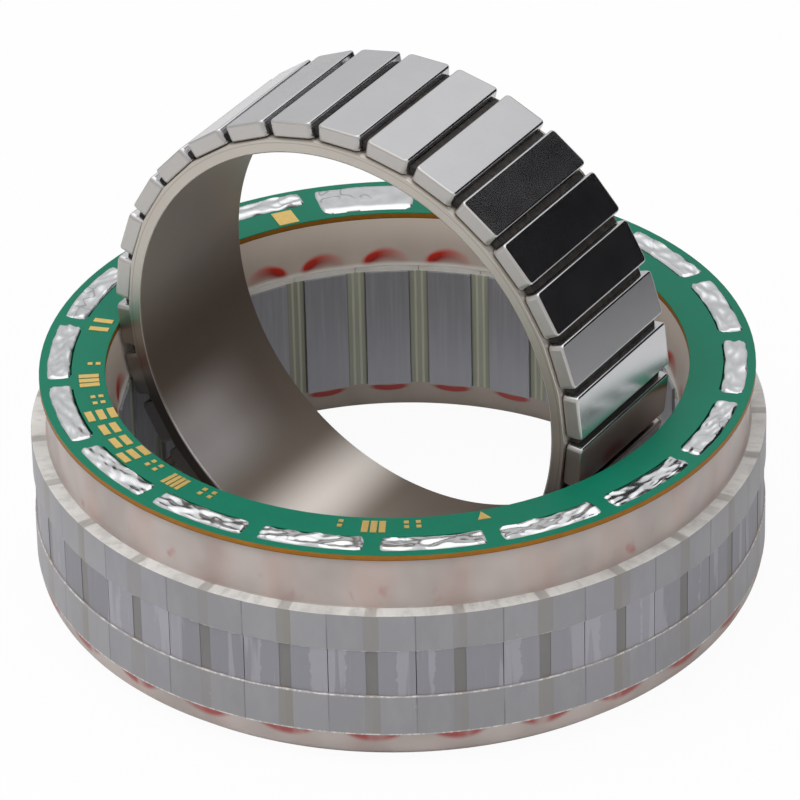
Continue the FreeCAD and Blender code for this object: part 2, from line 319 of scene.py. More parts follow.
def core_steel():
    """Bare laminations: bluish and scuffed outside, with dark grooves, and streaky tooth faces."""
    size, look = sizes(), colours()
    make = Shader("core_steel")
    base = look.steel
    side = make.slot_side(size.core_radius)
    middle = make.tooth_side(size.core_radius)
    part = make.random(make.slot_turn())
    streaks = make.ring_cloud(60, 60, 54, 4, 0.6)
    fine = make.ring_cloud(60, 60, 8, 5, 0.7)
    patch = make.ring_cloud(22, 4, 25, 2)
    rag = make.ring_cloud(30, 4, 500, 3, 0.6)
    reach = side + (rag - 0.5) * (2 * MM)
    beside = make.step(reach, 2.9 * MM, 2.7 * MM) * make.step(patch, 0.46, 0.5)
    scratch = make.ring_cloud(500, 60, 60, 4, 0.7)
    near = make.step(side, 2.2 * MM, 0.3 * MM)
    scuffs = make.sums("MAXIMUM", make.step(fine, 0.64, 0.76),
                       make.step(scratch, 0.68 - near * 0.08, 0.74))
    outside = make.step(make.radius, size.core_radius - 1.2 * MM, size.core_radius - 0.8 * MM)
    shade = make.mix(make.step(part, 0, 1), shaded(base, 0.86), shaded(base, 1.1))
    shade = make.mix(beside * 0.4, shade, shaded(base, 1.5))
    shade = make.mix(scuffs * 0.5, shade, shaded(base, 2.1))
    groove = make.step(middle, size.groove_width / 2 + 0.12 * MM, size.groove_width / 2)
    shade = make.mix(groove * 0.4, shade, (0.17, 0.16, 0.155))
    tooth = make.mix(make.step(make.z, size.stack_top, size.stack_bottom), (0.36, 0.37, 0.41),
                     (0.5, 0.52, 0.58))
    tooth = make.mix(make.step(streaks, 0.4, 0.7) * 0.35, tooth, (0.6, 0.6, 0.63))
    tooth = make.mix(make.step(fine, 0.64, 0.78) * 0.2, tooth, (0.75, 0.75, 0.77))
    base_colour = make.mix(outside, tooth, shade)
    layers = make.sums("PINGPONG", make.z, 0.35 * MM)
    height = layers * 60 + fine
    return make.finish(base_colour, 0.55, 0.38 + fine * 0.2, make.bump(height, 0.02 * MM, 0.6))


def resin_outside():
    """Collar and foot: milky resin with a warm blush, a painted shadow under the board, red windings
    close under the stack's edge.
    """
    size, look = sizes(), colours()
    make = Shader("resin_outside")
    soft = make.ring_cloud(9, 60, 60, 2)
    blush = make.step(make.tooth_side(size.core_radius), 5.5 * MM, MM)
    blush = blush * make.step(soft, 0.3, 0.75)
    shade = make.mix(blush, look.resin, look.resin_pink)
    milky = make.step(make.ring_cloud(5, 0, 70, 2), 0.3, 0.7)
    shade = make.mix(1, shade, make.mix(milky, (0.86, 0.84, 0.84), (1.14, 1.13, 1.13)), "MULTIPLY")
    # Painted shadow: the resin darkens towards the underside of the overhanging board.
    high = make.step(make.z, size.board_bottom - 2.5 * MM, size.board_bottom)
    shade = make.mix(high * 0.35, shade, shaded(look.resin, 0.8))
    arch = make.tooth_side(size.core_radius) * (1 / (4.4 * MM))
    crest = (1 - make.sums("POWER", arch, 2)) * (1.5 * MM)
    depth = size.stack_bottom - 0.2 * MM - make.z
    below = make.step(make.z, size.stack_bottom, size.stack_bottom - 0.2 * MM)
    red = make.step(crest - depth, -0.2 * MM, 0.9 * MM) * below
    patchy = make.step(make.ring_cloud(20, 0, 30, 1), 0.15, 0.55)
    shade = make.mix(red * patchy * 0.9, shade, tone(152, 44, 40))
    spots = make.step(make.ring_cloud(14, 0, 160, 2), 0.58, 0.76)
    spots = spots * make.inside(make.z, size.stack_top + 0.6 * MM, size.stack_top + 3.8 * MM, 0.6 * MM)
    shade = make.mix(spots * 0.8, shade, tone(165, 96, 92))
    fine = make.cloud(make.place, 900, 3, 0.6)
    rough = 0.32 + soft * 0.2
    waves = soft * 4 + fine * 0.25
    return make.finish(shade, 0, rough, make.bump(waves, 0.06 * MM, 0.7), Coat_Weight=0.15,
                       Coat_Roughness=0.25)


def resin_ledge():
    """The scuffed ledge that stands over the core, greyish at each groove, with broad patches of painted
    shade.
    """
    size, look = sizes(), colours()
    make = Shader("resin_ledge")
    flakes = make.ring_cloud(30, 300, 100, 3, 0.6)
    shade = make.mix(make.step(flakes, 0.25, 0.6), shaded(look.resin_ledge, 0.74), look.resin_ledge)
    # Painted shade: broad darker patches round the ledge.
    painted_ledge_shade = make.step(make.ring_cloud(3, 0, 0, 2, 0.6), 0.42, 0.62)
    shade = make.mix(painted_ledge_shade * 0.35, shade, shaded(look.resin_ledge, 0.6))
    notch = make.step(make.tooth_side(size.skin_radius), size.groove_width * 0.62,
                      size.groove_width * 0.38)
    shade = make.mix(notch * 0.45, shade, look.band_brown)
    return make.finish(shade, 0, 0.42, make.bump(flakes, 0.06 * MM, 0.6))


def resin_band():
    """Thin resin over steel: brown stripes over the grooves, and a darker film inside them."""
    size, look = sizes(), colours()
    make = Shader("resin_band")
    base = look.band
    side = make.slot_side(size.skin_radius)
    middle = make.tooth_side(size.skin_radius)
    part = make.random(make.slot_turn())
    half = make.random(make.slot_turn() * 2)
    soft = make.ring_cloud(14, 60, 90, 3, 0.6)
    fine = make.ring_cloud(60, 60, 500, 4, 0.7)
    tint = make.mix(half, shaded(base, 0.9), shaded(base, 1.06))
    shade = make.mix(part * 0.5, tint, (base[0], base[1], base[2] * 1.08))
    shade = make.mix(make.step(soft, 0.4, 0.7) * 0.35, shade, shaded(base, 1.22))
    wide = 0.9 * MM + part * (0.8 * MM)
    stripe = make.sums("LESS_THAN", middle, wide)
    shade = make.mix(stripe * (0.25 + half * 0.6), shade, look.band_brown)
    joint = make.step(side, 0.16 * MM, 0.04 * MM) * make.step(soft, 0.3, 0.5)
    shade = make.mix(joint * 0.6, shade, shaded(base, 0.35))
    shade = make.mix(make.step(fine, 0.66, 0.74) * 0.3, shade, shaded(base, 1.6))
    scratch = make.ring_cloud(500, 60, 60, 4, 0.7)
    scuffs = make.step(scratch, 0.6, 0.7) * make.step(side, 1.6 * MM, 0.3 * MM)
    shade = make.mix(scuffs * 0.5, shade, shaded(base, 1.7))
    upper = size.stack_top - size.upper_band
    lower = size.stack_bottom + size.lower_band
    top_rim = make.inside(make.z, upper - 0.1 * MM, upper + 0.12 * MM, 0.08 * MM)
    low_rim = make.inside(make.z, lower - 0.2 * MM, lower + 0.1 * MM, 0.1 * MM)
    edge = make.step(make.z, size.stack_bottom + 0.2 * MM, size.stack_bottom)
    flash = make.sums("MAXIMUM", top_rim * 0.4, make.sums("MAXIMUM", low_rim, edge))
    rag = 0.25 + make.step(fine, 0.45, 0.6) * 0.6
    shade = make.mix(flash * rag, shade, look.resin_ledge)
    filled = make.step(make.radius, size.core_radius + 0.12 * MM, size.core_radius + 0.02 * MM)
    shade = make.mix(filled, shade, make.mix(soft, (0.135, 0.13, 0.128), (0.21, 0.205, 0.2)))
    height = soft * 2 + fine * 0.6
    return make.finish(shade, 0, 0.36, make.bump(height, 0.05 * MM, 0.6), Coat_Weight=0.1,
                       Coat_Roughness=0.3)


def resin_bore():
    """The wall in the bore: red winding heads show blurred through it, over and under the teeth."""
    size, look = sizes(), colours()
    make = Shader("resin_bore")
    soft = make.ring_cloud(8, 50, 50, 2)
    part = make.random(make.slot_turn())
    arch = make.tooth_side(size.wall_radius) * (1 / (3.9 * MM))
    fall = 1 - make.sums("POWER", arch, 2)
    lean = (make.sums("FRACT", make.slot_turn()) - 0.5) * (make.sums("ROUND", part) * 2 - 1)
    crest = size.stack_top + 2.1 * MM + fall * (1.6 * MM)
    under = crest - make.z
    upper = make.step(under, -0.7 * MM, 0.3 * MM) * make.step(arch, 1.15, 0.7)
    upper = upper * make.step(under, 2.5 * MM, 0.8 * MM)
    upper = make.sums("MULTIPLY", upper, 0.75 + lean * 1.8, clamp=True)
    glow = make.mix(make.step(under, -0.3 * MM, 1.5 * MM), tone(205, 40, 20), look.wire)
    belly = size.stack_bottom - 0.6 * MM - fall * (1.7 * MM)
    below = make.step(make.z, size.stack_bottom - 0.45 * MM, size.stack_bottom - 0.8 * MM)
    lower = make.inside(make.z - belly, -0.1 * MM, 1.5 * MM, 0.35 * MM) * below
    lower = lower * make.step(arch, 1, 0.45)
    wall = make.mix(soft, shaded(look.resin_wall, 0.85), shaded(look.resin_wall, 1.25))
    high = make.step(make.z, size.flange_top + 2 * MM, size.board_bottom)
    wall = make.mix(high, wall, shaded(look.resin_wall, 1.42))
    shade = make.mix(upper, wall, glow)
    brim = make.step(make.z, size.flange_top + 0.9 * MM, size.flange_top + 0.1 * MM)
    above = make.step(make.z, size.stack_bottom, size.stack_top)
    shade = make.mix(brim * above * 0.8, shade, shaded(look.insulator, 1.35))
    shade = make.mix(make.sums("MULTIPLY", lower, 1.1, clamp=True), shade, tone(190, 26, 20))
    return make.finish(shade, 0, 0.3, make.bump(soft, 0.3 * MM, 0.5), Coat_Weight=0.3,
                       Coat_Roughness=0.15)


def winding_red():
    """Enamelled wire laid side by side."""
    make = Shader("winding_red")
    turns = make.sums("PINGPONG", make.radius, 0.35 * MM)
    shade = make.mix(turns * (1 / (0.35 * MM)), shaded(colours().wire, 0.6), colours().wire)
    return make.finish(shade, 0.3, 0.3, make.bump(turns * 1000, 0.1 * MM))


def moulded_white():
    """White insulator with a faint grain."""
    make = Shader("moulded_white")
    base = colours().insulator
    grain = make.ring_cloud(30, 200, 200, 3)
    shade = make.mix(grain, shaded(base, 1.25), shaded(base, 1.42))
    return make.finish(shade, 0, 0.4, make.bump(grain, 0.05 * MM, 0.5))


def liner_sheet():
    """Translucent liner, with light folds up the slot and dark edges."""
    size = sizes()
    make = Shader("liner_sheet")
    base = colours().liner
    side = make.slot_side(size.wall_radius)
    part = make.random(make.slot_turn() + 0.5)
    fold = make.inside(side, 0.35 * MM, 0.75 * MM, 0.12 * MM)
    cloudy = make.ring_cloud(10, 10, 70, 3)
    pale = make.mix(part, shaded(base, 1.3), (base[0] * 1.65, base[1] * 1.8, base[2] * 1.8))
    shade = make.mix(cloudy, base, pale)
    shade = make.mix(fold * 0.5, shade, shaded(base, 2.4))
    edge = make.step(side, size.slot_opening / 2 - 0.32 * MM, size.slot_opening / 2 - 0.1 * MM)
    shade = make.mix(edge * 0.6, shade, shaded(base, 0.5))
    return make.finish(shade, 0, 0.3, make.bump(fold + cloudy, 0.12 * MM, 0.6))


def board_mask():
    """Green mask on top, bare brown laminate round the cut edges."""
    size, look = sizes(), colours()
    make = Shader("board_mask")
    weave = make.cloud(make.place, 350, 2)
    green = make.mix(weave, shaded(look.mask, 0.92), shaded(look.mask, 1.08))
    layers = make.ring_cloud(30, 10, 3000, 3)
    edge = make.mix(layers, shaded(look.board_edge, 0.7), shaded(look.board_edge, 1.25))
    line = make.step(make.z, size.board_bottom + 0.3 * MM, size.board_bottom)
    edge = make.mix(line * 0.6, edge, shaded(look.board_edge, 0.35))
    top = make.step(make.z, size.board_top - 0.16 * MM, size.board_top - 0.1 * MM)
    rim = make.sums("MAXIMUM",
                    make.step(make.radius, size.board_outer - 0.4 * MM, size.board_outer - 0.2 * MM),
                    make.step(make.radius, size.board_inner + 0.4 * MM, size.board_inner + 0.2 * MM))
    side = make.mix(rim, shaded(look.mask, 0.3), edge)
    shade = make.mix(top, side, green)
    return make.finish(shade, 0, 0.4 + weave * 0.12, make.bump(weave, 0.02 * MM, 0.4),
                       Specular_IOR_Level=0.25)


def bright_solder():
    """Lumpy bright solder, with painted dark reflections in thin veins."""
    make = Shader("bright_solder")
    lumps = make.cloud(make.place, 150, 1, 0.4)
    fine = make.cloud(make.place, 700, 2, 0.5)
    base = colours().solder
    shade = make.mix(make.step(fine, 0.35, 0.65), shaded(base, 0.94), base)
    # Painted reflection: thin dark veins stand for dark surroundings mirrored in the solder.
    dark_reflection_veins = make.inside(make.cloud(make.place, 130, 2, 0.6), 0.49, 0.505, 0.012)
    dark_reflection_veins = dark_reflection_veins * make.step(make.cloud(make.place, 90, 1), 0.52, 0.62)
    shade = make.mix(dark_reflection_veins * 0.5, shade, (0.05, 0.05, 0.055))
    height = lumps + fine * 0.03
    return make.finish(shade, 1, 0.22, make.bump(height, 0.5 * MM, 0.28))


def gold_plating():
    make = Shader("gold_plating")
    base = colours().gold
    grain = make.cloud(make.place, 1500, 3)
    shade = make.mix(grain, shaded(base, 0.85), shaded(base, 1.1))
    return make.finish(shade, 0.75, 0.38, make.bump(grain, 0.03 * MM, 0.5))


def ring_ground():
    """Ground steel with fine lines round it. What its bore reflects is painted by sector; the end face
    has a painted dark reflection low down and a painted highlight along the bore's edge.
    """
    size = sizes()
    make = Shader("ring_ground")
    base = colours().ring_steel
    centre = make.node("ShaderNodeMapping", make.place, -rotor_place().translation)
    across, along, up = make.axes(centre.outputs[0])
    turn = make.sums("ARCTAN2", up, across)
    out = make.sums("SQRT", across * across + up * up)
    grain = make.node("ShaderNodeCombineXYZ", turn * 6, along * 4000, out * 4000)
    lines = make.cloud(grain.outputs[0], 1, 3, 0.6)
    clouds = make.cloud(make.place, 90, 4, 0.6)
    shade = make.mix(clouds, shaded(base, 0.82), shaded(base, 1.08))
    rim = make.inside(out, size.ring_flat - 0.55 * MM, size.ring_flat - 0.42 * MM, 0.05 * MM)
    shade = make.mix(rim * 0.45, shade, shaded(base, 0.3))
    hollow = make.step(out, size.ring_inner + 0.25 * MM, size.ring_inner + 0.1 * MM)
    swing = make.sums("ARCTAN2", across * -1, up * -1)

    def sector(low, high, soft):
        return make.inside(swing, math.radians(low), math.radians(high), math.radians(soft))

    # Painted reflections in the bore, in degrees from its lowest point: a dark zone, a milky patch and a
    # bright highlight.
    bore_reflection = make.mix(make.step(swing, math.radians(60), math.radians(100)),
                     (base[0] * 0.5, base[1] * 0.46, base[2] * 0.43), shaded(base, 0.8))
    bore_reflection = make.mix(sector(64, 86, 14), bore_reflection, (base[0] * 0.36, base[1] * 0.32, base[2] * 0.29))
    near = make.step(along, 24 * MM, 6 * MM)
    bore_reflection = make.mix(sector(42, 62, 7) * near, bore_reflection, (0.88, 0.84, 0.85))
    bore_highlight = sector(15, 28, 7) * hollow
    bore_reflection = make.mix(bore_highlight, bore_reflection, (1, 0.93, 0.87))
    # Painted reflection: the end face turns dark brown in its lower part, and a painted highlight runs
    # along the bore's rounded edge.
    low = make.step(up, 2 * MM, -18 * MM)
    shade = make.mix(low * 0.85, shade, (0.07, 0.055, 0.048))
    shade = make.mix(make.inside(out, size.ring_inner + 0.1 * MM, size.ring_inner + 0.3 * MM, 0.05 * MM),
                     shade, (1, 0.98, 0.95))
    shade = make.mix(hollow, shade, bore_reflection)
    metal = 1 - bore_highlight * 0.75
    rough = 0.3 + clouds * 0.16 + hollow * 0.14
    return make.finish(shade, metal, rough, make.bump(lines, 0.015 * MM, 0.5))


def nickel_plating():
    """Near mirror with faint ripples, greyer at the ends, with a painted dark reflection in the rotor's
    lower half.
    """
    size = sizes()
    make = Shader("nickel_plating")
    base = colours().nickel
    clouds = make.cloud(make.place, 160, 4, 0.6)
    fine = make.cloud(make.place, 2500, 2)
    shade = make.mix(clouds, shaded(base, 0.93), shaded(base, 1.03))
    low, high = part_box("north_magnets")
    along = make.sums("ABSOLUTE", make.y - (low.y + high.y) / 2)
    ends = make.step(along, (high.y - low.y) / 2 - 0.45 * MM, (high.y - low.y) / 2 - 0.25 * MM)
    shade = make.mix(ends, shade, (base[0] * 0.76, base[1] * 0.73, base[2] * 0.69))
    # Painted reflection: magnets in the rotor's lower half are darkened, standing for the dark parts they
    # mirror.
    lower_half_reflection = make.step(make.z, size.rotor_radius + MM, size.rotor_radius - 3 * MM)
    shade = make.mix(lower_half_reflection * 0.55, shade, (0.11, 0.085, 0.07))
    rough = 0.15 + clouds * 0.08 + ends * 0.2
    height = clouds + fine * 0.08
    return make.finish(shade, 1, rough, make.bump(height, 0.03 * MM, 0.35))


def dark_glue():
    make = Shader("dark_glue")
    base = colours().glue
    lumps = make.cloud(make.place, 900, 4, 0.6)
    shade = make.mix(make.step(lumps, 0.35, 0.75), shaded(base, 0.7), shaded(base, 2.6))
    return make.finish(shade, 0, 0.5, make.bump(lumps, 0.3 * MM, 0.9))


def floor_white():
    """A white floor that glows for the camera, except in the gap by the rotor. Only reflections see two
    painted dark zones in it."""
    make = Shader("floor_white")
    seen = make.node("ShaderNodeLightPath")
    # Between rotor and bore, in front of the rotor's back end, no glow is added.
    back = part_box("rotor_ring")[1].y
    gap = make.step(make.radius, 0.053, 0.049) * make.step(make.y, back - 0.002, back - 0.006)
    share = seen.outputs["Is Camera Ray"] * (0.95 * (1 - gap))

    # Painted reflection: darker zones of the floor that only glossy rays see.
    def reflected_dark_zone(left, front):
        area = make.inside(make.x, left, 2.1, 0.03) * make.inside(make.y, front, 2.2, 0.03)
        return area * seen.outputs["Is Glossy Ray"]

    shade = make.mix(reflected_dark_zone(0.11, 0.1), (0.86, 0.86, 0.86), (0.4, 0.4, 0.405))
    shade = make.mix(reflected_dark_zone(0.16, 0.29), shade, (0.03, 0.03, 0.03))
    return make.blend(share, make.node("ShaderNodeBsdfDiffuse", shade), make.node("ShaderNodeEmission"))


def card_paint(name, level):
    """A card that the camera doesn't see, but reflections do."""
    make = Shader(name)
    patch = make.cloud(make.place, 3)
    shade = make.mix(patch, shaded(level, 0.7), shaded(level, 1.3))
    paint = make.node("ShaderNodeBsdfDiffuse", shade)
    clear = make.node("ShaderNodeBsdfTransparent")
    seen = make.node("ShaderNodeLightPath")
    return make.blend(seen.outputs["Is Camera Ray"], paint, clear)


def dress(name, material):
    """Gives a carried-over CAD node its material."""
    mesh = NODES[name].data
    mesh.materials.clear()
    mesh.materials.append(material)


def placed(name, bm, materials):
    """Puts a finished bmesh in the scene as an object."""
    mesh = bpy.data.meshes.new(name)
    bm.to_mesh(mesh)
    bm.free()
    for material in materials:
        mesh.materials.append(material)
    made = bpy.data.objects.new(name, mesh)
    bpy.context.scene.collection.objects.link(made)
    return made


def piece(name, bm, materials, slot, *stands_for, smooth=35, flat_area=1.0, axis=(0, 0, 1)):
    """Makes a finished bmesh a piece of the motor, in the place of its CAD nodes. Faces square
    to the axis, and those over flat_area, are shaded flat."""
    bmesh.ops.recalc_face_normals(bm, faces=bm.faces)
    bm.normal_update()
    for face in bm.faces:
        face.smooth = abs(face.normal.dot(axis)) < 0.99999 and face.calc_area() < flat_area
    for edge in bm.edges:
        if len(edge.link_faces) == 2 and edge.calc_face_angle() > math.radians(smooth):
            edge.smooth = False
    made = placed(name, bm, materials)
    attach(made, "root")
    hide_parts(*stands_for)


def spun(corners, steps):
    """A closed ring turned about Z from an outline of (radius, height) corners."""
    bm = bmesh.new()
    face = bm.faces.new([bm.verts.new((radius, 0, height)) for radius, height in corners])
    outline = list(face.edges)
    bmesh.ops.delete(bm, geom=[face], context="FACES_ONLY")
    bmesh.ops.spin(bm, geom=outline + list(bm.verts), axis=(0, 0, 1), cent=(0, 0, 0),
                   angle=2 * math.pi, steps=steps, use_merge=True, use_duplicate=False)
    bmesh.ops.remove_doubles(bm, verts=bm.verts, dist=0.001 * MM)
    bmesh.ops.recalc_face_normals(bm, faces=bm.faces)
    return bm


def rounded(bm, edges, width, segments):
    bmesh.ops.bevel(bm, geom=edges, offset=width, offset_type="OFFSET", segments=segments,
                    profile=0.5, affect="EDGES", clamp_overlap=True, material=-1)


def round_rings(bm, places, width, segments):
    """Rounds the ring edges that run at the given (radius, height) places."""
    def at_place(vert):
        radius = math.hypot(vert.co.x, vert.co.y)
        return any(math.hypot(radius - r, vert.co.z - z) < 0.02 * MM for r, z in places)
    edges = [edge for edge in bm.edges if all(at_place(vert) for vert in edge.verts)]
    rounded(bm, edges, width, segments)


def tooth_offset(angle):
    """Place between two joints, from 0 to 1, with 0.5 at the tooth's middle, and the tooth's number."""
    turn = (angle - CLOCKING) / SLOT_PITCH
    return turn - math.floor(turn), math.floor(turn) % SLOTS


def ragged_ledge(bm, size):
    """Small steps at the joints, a notch at each groove, and uneven flash along the band edges."""
    band_edges = (size.stack_top - size.upper_band, size.stack_bottom + size.lower_band)
    for vert in bm.verts:
        radius = math.hypot(vert.co.x, vert.co.y)
        if radius < size.collar_foot + 0.1 * MM:
            continue
        angle = math.atan2(vert.co.y, vert.co.x)
        place, number = tooth_offset(angle)
        on_ledge = vert.co.z > size.stack_top
        if on_ledge and vert.co.z < size.stack_top + MM:
            step = 0.08 * MM * noise.noise(Vector((number * 7.3, 1.7, 0.0)))
            side = abs(place - 0.5) * SLOT_PITCH * radius
            notch = 0.1 * MM if side < size.groove_width / 2 else 0.0
            rag = 0.03 * MM * noise.noise(Vector((math.cos(angle), math.sin(angle), 0.3)) * 90)
            vert.co.z = max(vert.co.z + step + rag - notch, size.stack_top + 0.02 * MM)
        elif radius > size.skin_radius - 0.2 * MM:
            for height in band_edges:
                if abs(vert.co.z - height) < 0.35 * MM:
                    at = Vector((math.cos(angle), math.sin(angle), height * 100))
                    vert.co.z += 0.14 * MM * noise.noise(at * 60) + 0.10 * MM * noise.noise(at * 9)


def radial_block(bm, turn, front, back, width, bottom, top):
    """A box at an angle about Z, between two radii and two heights. Gives its faces."""
    place = (Matrix.Rotation(turn, 4, "Z")
             @ Matrix.Translation(((front + back) / 2, 0, (bottom + top) / 2))
             @ Matrix.Diagonal((back - front, width, top - bottom, 1)))
    verts = bmesh.ops.create_cube(bm, size=1.0, matrix=place)["verts"]
    return {face for vert in verts for face in vert.link_faces}


class MOTOR_OT_core(bpy.types.Operator):
    """Dresses the laminated core segments"""
    bl_idname = "motor.core"
    bl_label = "Core segments"

    def execute(self, context):
        steel = core_steel()
        for number in range(SLOTS):
            dress(f"core_segment_{number + 1:02d}", steel)
        return {"FINISHED"}


class MOTOR_OT_windings(bpy.types.Operator):
    """Dresses the coils, the insulating saddles and the slot liners"""
    bl_idname = "motor.windings"
    bl_label = "Windings and insulation"

    def execute(self, context):
        red, white = winding_red(), moulded_white()
        for name in ("phase_1_coils", "phase_2_coils", "phase_3_coils"):
            dress(name, red)
        dress("upper_saddles", white)
        dress("lower_saddles", white)
        dress("slot_strips", liner_sheet())
        return {"FINISHED"}


class MOTOR_OT_potting(bpy.types.Operator):
    """Turns the potting: collar, foot, the webs between them and the film in the grooves"""
    bl_idname = "motor.potting"
    bl_label = "Potting"

    def execute(self, context):
        size = sizes()
        ledge = size.stack_top + size.ledge_height
        upper_edge = size.stack_top - size.upper_band
        lower_edge = size.stack_bottom + size.lower_band
        heel = size.stack_bottom - size.ledge_height
        groove_floor = size.core_radius - size.groove_depth
        steps = SLOTS * STEPS_PER_SLOT
        bm = spun([
            (size.flange_back, size.stack_top),
            (groove_floor, size.stack_top),
            (groove_floor, upper_edge),
            (size.skin_radius, upper_edge),
            (size.skin_radius, ledge),
            (size.collar_foot, ledge),
            (size.collar_top, size.board_bottom),
            (size.board_inner, size.board_bottom),
            (size.wall_radius, size.flange_top),
            (size.flange_back, size.flange_top),
        ], steps)
        round_rings(bm, [(size.skin_radius, ledge)], LEDGE_ROUND, 2)
        round_rings(bm, [(size.collar_foot, ledge)], COLLAR_ROUND, 2)
        round_rings(bm, [(size.skin_radius, upper_edge)], BAND_ROUND, 1)
        belly = ((size.skin_radius + size.foot_outer) / 2 + size.foot_belly, size.stack_bottom / 2)
        foot = spun([
            (size.wall_radius, size.stack_bottom),
            (groove_floor, size.stack_bottom),
            (groove_floor, lower_edge),
            (size.skin_radius, lower_edge),
            (size.skin_radius, heel),
            belly,
            (size.foot_outer, 0.0),
            (size.foot_inner, 0.0),
        ], steps)
        round_rings(foot, [(size.skin_radius, heel)], HEEL_ROUND, 2)
        round_rings(foot, [belly], BELLY_ROUND, 4)
        round_rings(foot, [(size.foot_outer, 0.0)], FOOT_ROUND, 3)
        round_rings(foot, [(size.skin_radius, lower_edge)], BAND_ROUND, 1)
        scratch = bpy.data.meshes.new("foot")
        foot.to_mesh(scratch)
        foot.free()
        bm.from_mesh(scratch)
        bpy.data.meshes.remove(scratch)
        ragged_ledge(bm, size)
        for face in bm.faces:
            middle = face.calc_center_median()
            radius = math.hypot(middle.x, middle.y)
            face.material_index = OUTSIDE
            if radius < size.flange_back - 0.02 * MM and abs(face.normal.z) < 0.95:
                face.material_index = BORE
            elif (radius > size.skin_radius - 0.3 * MM
                  and size.stack_bottom - 0.15 * MM < middle.z < ledge - 0.1 * MM):
                face.material_index = BAND
            elif radius > size.collar_foot + 0.3 * MM and abs(middle.z - ledge) < 0.3 * MM:
                face.material_index = LEDGE
        for number in range(SLOTS):
            radial_block(bm, CLOCKING + number * SLOT_PITCH, WEB_FRONT, WEB_BACK, WEB_WIDTH,
                         size.stack_bottom - WEB_OVERLAP, size.stack_top + WEB_OVERLAP)
        for number in range(SLOTS):
            film = radial_block(bm, CLOCKING + (number + 0.5) * SLOT_PITCH, groove_floor,
                                size.core_radius - FILM_STEP, size.groove_width, lower_edge, upper_edge)
            for face in film:
                face.material_index = BAND
        piece("potting_casting", bm, [resin_outside(), resin_bore(), resin_band(), resin_ledge()],
              "potting", "potting")
        return {"FINISHED"}


class MOTOR_OT_board(bpy.types.Operator):
    """Bevels and dresses the circuit ring"""
    bl_idname = "motor.board"
    bl_label = "Circuit ring"

    def execute(self, context):
        size = sizes()
        bm = bmesh.new()
        bm.from_mesh(NODES["circuit_ring"].data)
        bmesh.ops.remove_doubles(bm, verts=bm.verts, dist=0.002 * MM)
        bmesh.ops.dissolve_limit(bm, angle_limit=math.radians(0.5), verts=bm.verts, edges=bm.edges)
        sharp = [edge for edge in bm.edges
                 if len(edge.link_faces) == 2 and edge.calc_face_angle() > math.radians(60)
                 and abs(edge.verts[0].co.z - edge.verts[1].co.z) < 0.01 * MM
                 and edge.verts[0].co.z > (size.board_bottom + size.board_top) / 2]
        rounded(bm, sharp, BOARD_ROUND, 2)
        piece("circuit_board", bm, [board_mask()], "board", "circuit_ring")
        return {"FINISHED"}


def solder_lump(bm, size, number, wide):
    """One soldered window, heaped and creased, from the collar's top to a little above the board."""
    inner = size.wide_window_inner if wide else size.window_inner
    outer = size.window_outer
    middle = (size.window_inner + outer) / 2
    seed = number * 3.7
    spread = size.window_spacing / 2 - 0.4 * MM * noise.noise(Vector((seed, 5.2, 0.7)))
    half = math.pi / WINDOWS - spread / middle
    turn = CLOCKING + (number + 0.5) * 2 * math.pi / WINDOWS
    grid = bmesh.ops.create_grid(bm, x_segments=LUMP_COLUMNS, y_segments=LUMP_ROWS, size=0.5)
    verts = grid["verts"]
    for vert in verts:
        across, out = vert.co.x * 2, vert.co.y * 2
        corner = 1 - 0.05 * max(0.0, abs(out) - 0.3) ** 2 * 2
        angle = turn + across * half * corner
        rag = 0.16 * MM * noise.noise(Vector((across * 3.5, out * 2, seed)))
        radius = inner + (outer - inner) * (out + 1) / 2 + rag * abs(out)
        edge = min(1.0, (1 - abs(across)) * 14) ** 0.6 * min(1.0, (1 - abs(out)) * 4) ** 0.6
        flow = noise.noise(Vector((across * 2.6 + out * 0.8, out * 1.4, seed)))
        crease = abs(noise.noise(Vector((across * 2.8 - out * 1.1, out * 1.1 + across, seed + 9))))
        rise = 0.22 + 0.38 * flow - 0.28 * crease
        if wide:
            rise = 0.22 + 0.14 * flow - 0.10 * crease
        lift = -0.30 + edge * (0.30 + max(-0.12, rise) + 0.1)
        vert.co = Vector((radius * math.cos(angle), radius * math.sin(angle),
                          size.board_top + lift * MM))
    faces = list({face for vert in verts for face in vert.link_faces})
    walls = bmesh.ops.extrude_face_region(bm, geom=faces)
    for item in walls["geom"]:
        if isinstance(item, bmesh.types.BMVert):
            item.co.z = size.board_bottom


class MOTOR_OT_solder(bpy.types.Operator):
    """Heaps the solder in the windows"""
    bl_idname = "motor.solder"
    bl_label = "Solder joints"

    def execute(self, context):
        size = sizes()
        bm = bmesh.new()
        for number in range(WINDOWS):
            solder_lump(bm, size, number, number == WIDE_WINDOW)
        piece("solder_lumps", bm, [bright_solder()], "solder", "solder_joints", smooth=50)
        return {"FINISHED"}


class MOTOR_OT_pads(bpy.types.Operator):
    """Dresses the gold pads and marks"""
    bl_idname = "motor.pads"
    bl_label = "Gold pads"

    def execute(self, context):
        gold = gold_plating()
        dress("test_pads", gold)
        dress("marker_dots", gold)
        return {"FINISHED"}


def rotor_place():
    """Takes a rotor piece from the Z axis to its place: axis along Y, visible end towards -Y."""
    low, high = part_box("rotor_ring")
    middle = (low + high) / 2
    return (Matrix.Translation((middle.x, low.y, sizes().rotor_radius))
            @ Matrix.Rotation(math.pi / 2, 4, "X"))


